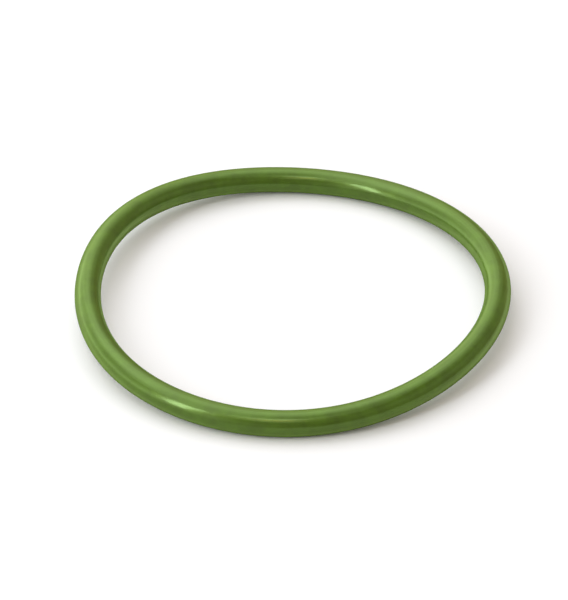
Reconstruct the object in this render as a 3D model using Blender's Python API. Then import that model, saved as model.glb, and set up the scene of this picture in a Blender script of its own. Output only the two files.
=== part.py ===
"""O-ring: a moulded rubber sealing ring with a round cord, lying free on a flat surface.

A thin ring that has been stored or stretched does not lie flat. It takes a slight saddle form:
two opposite sides rest on the surface and the two sides between them stand clear of it.
Seen from above it is then no true circle, but bulges a little here and there.

Metres, +Z up. The origin is the middle of the ring, on the surface that it lies on.
The ring rests on its low sides, near +Y and -Y, and its high sides are at +X and -X.
"""

import math

import bpy
from mathutils import Vector

# Mould sizes
INSIDE_DIAMETER = 0.044
CORD_DIAMETER = 0.003

# How the ring lies
BOW_HEIGHT = 0.0018  # how far the saddle rises over one radius
REST_OFFSET = 0.00174  # how far towards +X the two low sides lie, which leaves the side at -X the higher
THREE_LOBES = 0.00021  # how far the bowed ring bulges in plan at three places, the first at +X
FOUR_LOBES = 0.000107  # and at its four diagonals
FIVE_LOBES = 0.000068  # and at five places, the first at +X
CONTACT_DEPTH = 0.00005  # how far the cord is pressed flat where it rests

# Fineness of the surface: multiples of four put a vertex on each outermost point
FACETS_ALONG_RING = 144
FACETS_AROUND_CORD = 28

GREEN_RUBBER = (0.159, 0.258, 0.053, 1.0)
RUBBER_ROUGHNESS = 0.45
SMOOTH_UP_TO = math.radians(20)  # turns the round cord smooth and leaves the contact flats' rims sharp

CORD_RADIUS = CORD_DIAMETER / 2
CENTRELINE_RADIUS = INSIDE_DIAMETER / 2 + CORD_RADIUS
OUTSIDE_DIAMETER = INSIDE_DIAMETER + 2 * CORD_DIAMETER


def clear_scene():
    for obj in list(bpy.data.objects):
        bpy.data.objects.remove(obj)


def add_collection(name):
    collection = bpy.data.collections.new(name)
    bpy.context.scene.collection.children.link(collection)
    return collection


def move_to(obj, collection):
    for old in list(obj.users_collection):
        old.objects.unlink(obj)
    collection.objects.link(obj)


def rubber():
    """Moulded green rubber with a satin surface."""
    material = bpy.data.materials.new("green_rubber")
    material.use_nodes = True
    shader = material.node_tree.nodes["Principled BSDF"]
    shader.inputs["Base Color"].default_value = GREEN_RUBBER
    shader.inputs["Roughness"].default_value = RUBBER_ROUGHNESS
    shader.inputs["Metallic"].default_value = 0.0
    return material


def centreline(angle):
    """The cord's centre: lowest near +Y and -Y, where the contact flats are, and a little lobed in plan."""
    radius = (
        CENTRELINE_RADIUS
        + THREE_LOBES * math.cos(3 * angle)
        - FOUR_LOBES * math.cos(4 * angle)
        + FIVE_LOBES * math.cos(5 * angle)
    )
    aside = THREE_LOBES + FIVE_LOBES  # keeps the ring's two ends along X at equal distances
    rise = BOW_HEIGHT * (math.cos(angle) - REST_OFFSET / CENTRELINE_RADIUS) ** 2
    height = CORD_RADIUS - CONTACT_DEPTH + rise
    return Vector((radius * math.cos(angle) - aside, radius * math.sin(angle), height))


def centreline_direction(angle):
    """The way that the cord runs, from two points a little to either side."""
    step = math.radians(0.1)
    return (centreline(angle + step) - centreline(angle - step)).normalized()


def bow(mesh):
    """Bends the flat ring to its centreline, with each section kept round and square to the cord."""
    for vertex in mesh.vertices:
        angle = math.atan2(vertex.co.y, vertex.co.x)
        outwards = math.hypot(vertex.co.x, vertex.co.y) - CENTRELINE_RADIUS
        upwards = vertex.co.z
        along = centreline_direction(angle)
        outward = along.cross(Vector((0.0, 0.0, 1.0))).normalized()
        vertex.co = centreline(angle) + outwards * outward + upwards * outward.cross(along)


def moulded_ring(collection):
    """The ring as moulded, then bowed as it lies."""
    bpy.ops.mesh.primitive_torus_add(
        major_segments=FACETS_ALONG_RING,
        minor_segments=FACETS_AROUND_CORD,
        major_radius=CENTRELINE_RADIUS,
        minor_radius=CORD_RADIUS,
    )
    ring = bpy.context.object
    ring.name = "o_ring"
    ring.data.name = "o_ring"
    bow(ring.data)
    ring.data.materials.append(rubber())
    ring.data.shade_smooth()
    ring.data.set_sharp_from_angle(angle=SMOOTH_UP_TO)
    move_to(ring, collection)
    return ring


def resting_slab(collection):
    """What lies below the surface, as a cutter with its top at Z = 0 that reaches well past the ring."""
    width = 2 * OUTSIDE_DIAMETER
    thickness = CORD_DIAMETER
    bpy.ops.mesh.primitive_cube_add(
        size=1.0,
        location=(0.0, 0.0, -thickness / 2),
        scale=(width, width, thickness),
    )
    bpy.ops.object.transform_apply(location=False, rotation=False, scale=True)
    slab = bpy.context.object
    slab.name = "resting_slab"
    slab.hide_render = True
    slab.display_type = "WIRE"
    move_to(slab, collection)
    return slab


def cut_contact_flats(ring, slab):
    """Flattens the two low sides where they press on the surface."""
    cut = ring.modifiers.new("contact_flats", "BOOLEAN")
    cut.operation = "DIFFERENCE"
    cut.solver = "EXACT"
    cut.object = slab


clear_scene()
ring = moulded_ring(add_collection("o_ring"))
slab = resting_slab(add_collection("cutters"))
cut_contact_flats(ring, slab)
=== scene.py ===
"""Studio view of a green rubber O-ring, lying free on a white surface. Metres, +Z up."""

import math

import bmesh
import bpy
from mathutils import Matrix, Quaternion, Vector


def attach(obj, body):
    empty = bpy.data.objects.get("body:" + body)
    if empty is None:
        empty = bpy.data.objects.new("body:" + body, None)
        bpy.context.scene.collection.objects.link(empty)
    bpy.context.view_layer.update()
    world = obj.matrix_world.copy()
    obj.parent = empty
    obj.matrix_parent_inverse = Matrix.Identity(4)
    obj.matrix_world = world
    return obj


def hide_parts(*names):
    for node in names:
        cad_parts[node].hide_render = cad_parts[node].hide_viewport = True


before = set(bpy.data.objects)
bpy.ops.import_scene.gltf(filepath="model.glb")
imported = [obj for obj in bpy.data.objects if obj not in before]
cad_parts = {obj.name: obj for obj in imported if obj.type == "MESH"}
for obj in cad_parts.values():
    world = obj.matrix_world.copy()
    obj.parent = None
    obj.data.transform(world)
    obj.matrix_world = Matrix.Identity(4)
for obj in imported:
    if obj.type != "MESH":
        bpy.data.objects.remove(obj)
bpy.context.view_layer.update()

# The sealing ring: one piece of nitrile rubber, a round cord closed into a ring in a split mould.
# The mould's two halves meet at the cord's inner and outer edges and leave a faint witness line there.
# Lying free, the ring bows into a slight saddle and rests on its two low sides, at +Y and -Y.
INSIDE_DIAMETER = 0.044
CORD_DIAMETER = 0.003
BOW_HEIGHT = 0.0018  # how far the saddle rises over one radius
REST_OFFSET = 0.00174  # how far towards +X the two low sides lie, which leaves the side at -X the higher
THREE_LOBES = 0.00021  # how far the bowed ring bulges in plan at three places, the first at +X
FOUR_LOBES = 0.000107  # and at its four diagonals
FIVE_LOBES = 0.000068  # and at five places, the first at +X
CONTACT_DEPTH = 0.00005  # how far the cord is pressed flat where it rests
WITNESS_HEIGHT = 0.000004  # trimmed so close that it barely shows
FACETS_ALONG_RING = 360
FACETS_AROUND_CORD = 96
MERGE_DISTANCE = 0.000001

CORD_RADIUS = CORD_DIAMETER / 2
CENTRELINE_RADIUS = INSIDE_DIAMETER / 2 + CORD_RADIUS


def centreline(angle):
    """The cord's centre: lowest near +Y and -Y, where the ring rests, and a little lobed in plan."""
    radius = (
        CENTRELINE_RADIUS
        + THREE_LOBES * math.cos(3 * angle)
        - FOUR_LOBES * math.cos(4 * angle)
        + FIVE_LOBES * math.cos(5 * angle)
    )
    aside = THREE_LOBES + FIVE_LOBES  # keeps the ring's two ends along X at equal distances
    rise = BOW_HEIGHT * (math.cos(angle) - REST_OFFSET / CENTRELINE_RADIUS) ** 2
    height = CORD_RADIUS - CONTACT_DEPTH + rise
    return Vector((radius * math.cos(angle) - aside, radius * math.sin(angle), height))


def centreline_direction(angle):
    """The way that the cord runs, from two points a little to either side."""
    step = math.radians(0.1)
    return (centreline(angle + step) - centreline(angle - step)).normalized()


def moulded_cord():
    """The flat ring as it leaves the mould: a circle spun round the ring's axis."""
    mesh = bmesh.new()
    section = bmesh.ops.create_circle(mesh, segments=FACETS_AROUND_CORD, radius=CORD_RADIUS)["verts"]
    for vertex in section:
        at_mould_joint = abs(vertex.co.y) < CORD_RADIUS / FACETS_AROUND_CORD
        if at_mould_joint:
            vertex.co.x += math.copysign(WITNESS_HEIGHT, vertex.co.x)
    bmesh.ops.rotate(mesh, verts=section, cent=(0, 0, 0), matrix=Matrix.Rotation(math.pi / 2, 3, "X"))
    bmesh.ops.translate(mesh, verts=section, vec=(CENTRELINE_RADIUS, 0, 0))
    bmesh.ops.spin(
        mesh,
        geom=mesh.verts[:] + mesh.edges[:],
        cent=(0, 0, 0),
        axis=(0, 0, 1),
        angle=2 * math.pi,
        steps=FACETS_ALONG_RING,
        use_merge=True,
    )
    bmesh.ops.remove_doubles(mesh, verts=mesh.verts, dist=MERGE_DISTANCE)
    return mesh


STREAK_STRETCH = 5  # how many times as long as wide the streaks in the rubber are


def lay_down(mesh):
    """Bends the flat ring to its centreline, and presses it flat where it rests.

    Each point also keeps "flow", its place on a flat ring that is drawn in to a smaller circle. A
    pattern that reads it comes out long round the ring, as the rubber flowed in the mould.
    """
    flow = mesh.verts.layers.float_vector.new("flow")
    for vertex in mesh.verts:
        angle = math.atan2(vertex.co.y, vertex.co.x)
        outwards = math.hypot(vertex.co.x, vertex.co.y) - CENTRELINE_RADIUS
        upwards = vertex.co.z
        drawn_in = CENTRELINE_RADIUS / STREAK_STRETCH + outwards
        vertex[flow] = (drawn_in * math.cos(angle), drawn_in * math.sin(angle), upwards)
        along = centreline_direction(angle)
        outward = along.cross(Vector((0, 0, 1))).normalized()
        vertex.co = centreline(angle) + outwards * outward + upwards * outward.cross(along)
        vertex.co.z = max(vertex.co.z, 0)


def linear(code):
    """An sRGB hex colour as Blender's linear red, green, blue and alpha."""
    shares = [int(code[place:place + 2], 16) / 255 for place in (1, 3, 5)]
    return [s / 12.92 if s <= 0.04045 else ((s + 0.055) / 1.055) ** 2.4 for s in shares] + [1.0]


def add_node(tree, kind, settings, inputs):
    """Adds a node, sets it up, and gives each named input a value or another node's output."""
    node = tree.nodes.new(kind)
    for name, value in settings.items():
        setattr(node, name, value)
    for name, value in inputs.items():
        if isinstance(value, bpy.types.NodeSocket):
            tree.links.new(value, node.inputs[name])
        else:
            node.inputs[name].default_value = value
    return node


DEEP_GREEN = "#284206"
LIGHT_GREEN = "#365509"
PALE_GREEN = "#3F5E10"
PATCH_SIZE = 0.002
STREAK_WIDTH = 0.0016
STREAK_STRENGTH = 0.2  # how much of its colour the pale filler gives a streak, at most
BLOOM_SIZE = 0.003
SHINIEST_ROUGHNESS = 0.24
DULLEST_ROUGHNESS = 0.38
WAVE_LENGTH = 0.003
WAVE_HEIGHT = 0.00005
# A polished mould's grain is too fine to show, so it is drawn about one pixel coarse.
GRAIN_SIZE = 0.00012
GRAIN_HEIGHT = 0.000002
SHEEN_GREEN = "#D8FF76"
POLISH_GREEN = "#DEFFBC"
POLISH_ROUGHNESS = 0.18
POLISH_SHARE = 0.42
RUBBER_IOR = 1.5
BARE_GLOSS = 0.1  # where bare rubber mirrors this share of the light,
WAXED_GLOSS = 0.3  # the waxed skin mirrors this, and nowhere more


def nitrile_rubber():
    """Green nitrile rubber, pressed in a polished steel mould.

    The eye sees a satin skin: a broad green sheen with a fainter, sharper gloss over it, both a
    little uneven, on a pigment that is blotched with deep and with lighter, yellower green.
    """
    material = bpy.data.materials.new("green_nitrile_rubber")
    material.use_nodes = True
    tree = material.node_tree
    shader = tree.nodes["Principled BSDF"]
    place = add_node(tree, "ShaderNodeTexCoord", {}, {}).outputs["Object"]

    # Pigment: patches about 2 mm across, from deep green to a lighter and yellower green
    patches = add_node(
        tree,
        "ShaderNodeTexNoise",
        {},
        {"Vector": place, "Scale": 1 / PATCH_SIZE, "Detail": 3.0, "Roughness": 0.6},
    )
    pigment = add_node(tree, "ShaderNodeValToRGB", {}, {"Fac": patches.outputs["Fac"]})
    pigment.color_ramp.elements[0].position = 0.36
    pigment.color_ramp.elements[0].color = linear(DEEP_GREEN)
    pigment.color_ramp.elements[1].position = 0.64
    pigment.color_ramp.elements[1].color = linear(LIGHT_GREEN)

    # Streaks of pale filler, drawn out round the ring as the rubber flowed in the mould
    flow = add_node(tree, "ShaderNodeAttribute", {"attribute_name": "flow"}, {})
    streaks = add_node(
        tree,
        "ShaderNodeTexNoise",
        {},
        {"Vector": flow.outputs["Vector"], "Scale": 1 / STREAK_WIDTH, "Detail": 1.5},
    )
    streak_share = add_node(
        tree,
        "ShaderNodeMapRange",
        {},
        {"Value": streaks.outputs["Fac"], "From Min": 0.5, "From Max": 0.75, "To Max": STREAK_STRENGTH},
    )
    streaked = add_node(
        tree,
        "ShaderNodeMix",
        {"data_type": "RGBA"},
        {"Factor": streak_share.outputs["Result"], "A": pigment.outputs["Color"], "B": linear(PALE_GREEN)},
    )

    # Bloom: the film of wax on the skin is duller in patches about 3 mm across
    film = add_node(
        tree, "ShaderNodeTexNoise", {}, {"Vector": place, "Scale": 1 / BLOOM_SIZE, "Detail": 3.0}
    )
    bloom = add_node(
        tree,
        "ShaderNodeMapRange",
        {},
        {"Value": film.outputs["Fac"], "To Min": SHINIEST_ROUGHNESS, "To Max": DULLEST_ROUGHNESS},
    )

    # Relief: shallow undulations 3 mm long from the pressing, and the mould's fine grain
    waves = add_node(
        tree, "ShaderNodeTexNoise", {}, {"Vector": place, "Scale": 1 / WAVE_LENGTH, "Detail": 1.0}
    )
    pressed = add_node(
        tree,
        "ShaderNodeBump",
        {},
        {"Height": waves.outputs["Fac"], "Strength": 1.0, "Distance": WAVE_HEIGHT},
    )
    grain = add_node(
        tree, "ShaderNodeTexNoise", {}, {"Vector": place, "Scale": 1 / GRAIN_SIZE, "Detail": 2.0}
    )
    relief = add_node(
        tree,
        "ShaderNodeBump",
        {},
        {
            "Height": grain.outputs["Fac"],
            "Strength": 1.0,
            "Distance": GRAIN_HEIGHT,
            "Normal": pressed.outputs["Normal"],
        },
    )
    skin_normal = relief.outputs["Normal"]

    tree.links.new(streaked.outputs["Result"], shader.inputs["Base Color"])
    tree.links.new(bloom.outputs["Result"], shader.inputs["Roughness"])
    tree.links.new(skin_normal, shader.inputs["Normal"])
    shader.inputs["Metallic"].default_value = 0.0
    shader.inputs["Specular IOR Level"].default_value = 0.0  # the gloss below takes its place

    # Gloss: a wax film that mirrors green more than blue, partly broad and partly sharper. It mirrors three
    # times as strongly as bare rubber, up to its limit at the rims.
    sheen = add_node(
        tree,
        "ShaderNodeBsdfGlossy",
        {"distribution": "GGX"},
        {"Color": linear(SHEEN_GREEN), "Roughness": bloom.outputs["Result"], "Normal": skin_normal},
    )
    polish = add_node(
        tree,
        "ShaderNodeBsdfGlossy",
        {"distribution": "GGX"},
        {"Color": linear(POLISH_GREEN), "Roughness": POLISH_ROUGHNESS, "Normal": skin_normal},
    )
    gloss = add_node(
        tree,
        "ShaderNodeMixShader",
        {},
        {0: POLISH_SHARE, 1: sheen.outputs["BSDF"], 2: polish.outputs["BSDF"]},
    )
    bare = add_node(tree, "ShaderNodeFresnel", {}, {"IOR": RUBBER_IOR, "Normal": skin_normal})
    waxed = add_node(
        tree,
        "ShaderNodeMapRange",
        {},
        {"Value": bare.outputs["Fac"], "From Max": BARE_GLOSS, "To Max": WAXED_GLOSS},
    )
    skin = add_node(
        tree,
        "ShaderNodeMixShader",
        {},
        {0: waxed.outputs["Result"], 1: shader.outputs["BSDF"], 2: gloss.outputs["Shader"]},
    )
    tree.links.new(skin.outputs["Shader"], tree.nodes["Material Output"].inputs["Surface"])
    return material


mesh = moulded_cord()
bmesh.ops.recalc_face_normals(mesh, faces=mesh.faces)
lay_down(mesh)
ring_mesh = bpy.data.meshes.new("sealing_ring")
mesh.to_mesh(ring_mesh)
mesh.free()
ring_mesh.shade_smooth()
ring_mesh.materials.append(nitrile_rubber())
ring = bpy.data.objects.new("sealing_ring", ring_mesh)
bpy.context.collection.objects.link(ring)
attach(ring, "root")
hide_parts("o_ring")

# The surface: a sheet of matt white board that the ring lies on, wide enough to fill any view.
# It shows pure white in the open. A real sheet throws back less light than that, so what lights the
# underside of the cord is greyer.
SHEET_WIDTH = 6.0
BOARD_WHITE = "#FFFFFF"
BOARD_BOUNCE = "#DCDCDC"


def white_board():
    """Matt white board, which takes the ring's soft shadow and has no gloss of its own."""
    material = bpy.data.materials.new("white_board")
    material.use_nodes = True
    tree = material.node_tree
    shader = tree.nodes["Principled BSDF"]
    rays = add_node(tree, "ShaderNodeLightPath", {}, {})
    colour = add_node(
        tree,
        "ShaderNodeMix",
        {"data_type": "RGBA"},
        {"Factor": rays.outputs["Is Camera Ray"], "A": linear(BOARD_BOUNCE), "B": linear(BOARD_WHITE)},
    )
    tree.links.new(colour.outputs["Result"], shader.inputs["Base Color"])
    shader.inputs["Roughness"].default_value = 1.0
    shader.inputs["Specular IOR Level"].default_value = 0.0
    return material


mesh = bmesh.new()
bmesh.ops.create_grid(mesh, x_segments=1, y_segments=1, size=SHEET_WIDTH / 2)
sheet_mesh = bpy.data.meshes.new("white_sheet")
mesh.to_mesh(sheet_mesh)
mesh.free()
sheet_mesh.materials.append(white_board())
sheet = bpy.data.objects.new("white_sheet", sheet_mesh)
bpy.context.collection.objects.link(sheet)

# The camera: a long lens, looking down on the ring from the front and a little to its right.
CAMERA_TURN = math.radians(9)  # round from -Y towards +X
CAMERA_ELEVATION = math.radians(36.4)
CAMERA_DISTANCE = 0.47
CAMERA_ROLL = math.radians(-0.74)
AIM_RIGHT = -0.00081
AIM_UP = -0.00101
LENS_MM = 246.2
SENSOR_WIDTH_MM = 36
NEAREST_SEEN = 0.01

camera_back = Vector(
    (
        math.sin(CAMERA_TURN) * math.cos(CAMERA_ELEVATION),
        -math.cos(CAMERA_TURN) * math.cos(CAMERA_ELEVATION),
        math.sin(CAMERA_ELEVATION),
    )
)
camera_right = Vector((math.cos(CAMERA_TURN), math.sin(CAMERA_TURN), 0))
ring_middle = Vector((-THREE_LOBES - FIVE_LOBES, 0, CORD_RADIUS - CONTACT_DEPTH + BOW_HEIGHT / 2))
aim = ring_middle + AIM_RIGHT * camera_right + AIM_UP * camera_back.cross(camera_right)

camera_data = bpy.data.cameras.new("camera")
camera_data.sensor_width = SENSOR_WIDTH_MM
camera_data.lens = LENS_MM
camera_data.clip_start = NEAREST_SEEN
camera = bpy.data.objects.new("camera", camera_data)
camera.location = ring_middle + CAMERA_DISTANCE * camera_back
level = (aim - camera.location).to_track_quat("-Z", "Y")
camera.rotation_euler = (level @ Quaternion((0, 0, 1), CAMERA_ROLL)).to_euler()
bpy.context.collection.objects.link(camera)
bpy.context.scene.camera = camera

# The light: rows of soft boxes on a dome. Each is about twice as wide and high as the way to the next, or
# more, so that they overlap and no edge shows in the rubber's gloss. Four broad glows say how bright each
# is, as in a room with two windows at the left, a wall that they light at the back, and a skylight.
# Dim boxes fill the front and the right. A tall bright pane at the front left makes the two highlights,
# and a small warm lamp hangs over the camera, with pale light below and above it.
# Degrees round go from the camera's right towards the back, the left and the front.
LAMP_DISTANCE = 0.8
DAYLIGHT = "#F0F7FF"
LAMPLIGHT = "#FFC46E"

# Brightness, then degrees round and up of the middle, then how many degrees round and up it spreads
GLOWS = (
    (0.40, 135, 1, 41, 21),
    (0.40, 202, 11, 44, 20),
    (0.28, 109, 43, 37, 21),
    (0.69, 148, 100, 75, 41),
)


def glow(degrees_round, degrees_up):
    """How bright the four glows make one place on the dome."""
    return sum(
        brightness
        * math.exp(-(((degrees_round - middle_round) / spread_round) ** 2))
        * math.exp(-(((degrees_up - middle_up) / spread_up) ** 2))
        for brightness, middle_round, middle_up, spread_round, spread_up in GLOWS
    )


def add_box(name, colour, degrees_round, degrees_up, degrees_wide, degrees_high, brightness):
    """One soft box on the dome, turned to the ring. At a brightness of 1 its face is as bright as white."""
    turn = math.radians(degrees_round) + CAMERA_TURN
    rise = math.radians(degrees_up)
    direction = Vector(
        (math.cos(rise) * math.cos(turn), math.cos(rise) * math.sin(turn), math.sin(rise))
    )
    lamp_data = bpy.data.lights.new(name, "AREA")
    lamp_data.shape = "RECTANGLE"
    lamp_data.size = 2 * LAMP_DISTANCE * math.tan(math.radians(degrees_wide) / 2)
    lamp_data.size_y = 2 * LAMP_DISTANCE * math.tan(math.radians(degrees_high) / 2)
    lamp_data.energy = brightness * math.pi * lamp_data.size * lamp_data.size_y
    lamp_data.color = linear(colour)[:3]
    lamp = bpy.data.objects.new(name, lamp_data)
    lamp.location = LAMP_DISTANCE * direction
    lamp.rotation_euler = direction.to_track_quat("Z", "Y").to_euler()
    lamp.visible_camera = False
    bpy.context.collection.objects.link(lamp)


# The rows that the glows light
for name, degrees_up, degrees_wide, degrees_high, first, step, count in (
    ("sill", 5, 40, 20, 100, 20, 8),
    ("lower_window", 15, 40, 20, 100, 20, 9),
    ("upper_window", 26, 40, 24, 80, 20, 10),
    ("wall", 40, 40, 30, 60, 20, 9),
    ("cornice", 55, 52, 30, 60, 30, 7),
    ("ceiling", 70, 72, 30, 45, 45, 5),
    ("ceiling_middle", 88, 52, 52, 180, 0, 1),
):
    for place in range(count):
        degrees_round = first + place * step
        brightness = glow(degrees_round, degrees_up)
        add_box(name, DAYLIGHT, degrees_round, degrees_up, degrees_wide, degrees_high, brightness)

# The dim rows
for name, degrees_up, degrees_wide, degrees_high, first, step, count, brightness in (
    ("front_wall", 40, 56, 30, 290, 30, 4, 0.09),
    ("right_wall", 26, 56, 30, 320, 30, 3, 0.09),
    ("right_sill", 9, 56, 30, 290, 30, 5, 0.06),
):
    for place in range(count):
        degrees_round = first + place * step
        add_box(name, DAYLIGHT, degrees_round, degrees_up, degrees_wide, degrees_high, brightness)

# The pane and the lamp
for name, colour, degrees_round, degrees_up, degrees_wide, degrees_high, brightness in (
    ("pane", DAYLIGHT, 219, 35, 10, 30, 8.2),
    ("bulb_low", DAYLIGHT, 260, 51, 16, 8, 1.2),
    ("bulb", LAMPLIGHT, 260, 59, 7, 7, 4.0),
    ("bulb_high", DAYLIGHT, 258, 67, 14, 8, 2.8),
):
    add_box(name, colour, degrees_round, degrees_up, degrees_wide, degrees_high, brightness)

# The room: dim and warm where it lights the ring, and plain white where a view looks past the sheet.
ROOM_BRIGHTNESS = 0.285
ROOM_TINT = "#FFE0C0"
BACKDROP_WHITE = "#FFFFFF"

world = bpy.data.worlds.new("studio")
world.use_nodes = True
bpy.context.scene.world = world
tree = world.node_tree
rays = add_node(tree, "ShaderNodeLightPath", {}, {})
brightness = add_node(
    tree,
    "ShaderNodeMapRange",
    {},
    {"Value": rays.outputs["Is Camera Ray"], "To Min": ROOM_BRIGHTNESS, "To Max": 1.0},
)
tint = add_node(
    tree,
    "ShaderNodeMix",
    {"data_type": "RGBA"},
    {"Factor": rays.outputs["Is Camera Ray"], "A": linear(ROOM_TINT), "B": linear(BACKDROP_WHITE)},
)
tree.links.new(brightness.outputs["Result"], tree.nodes["Background"].inputs["Strength"])
tree.links.new(tint.outputs["Result"], tree.nodes["Background"].inputs["Color"])

bpy.context.scene.view_settings.view_transform = "Standard"
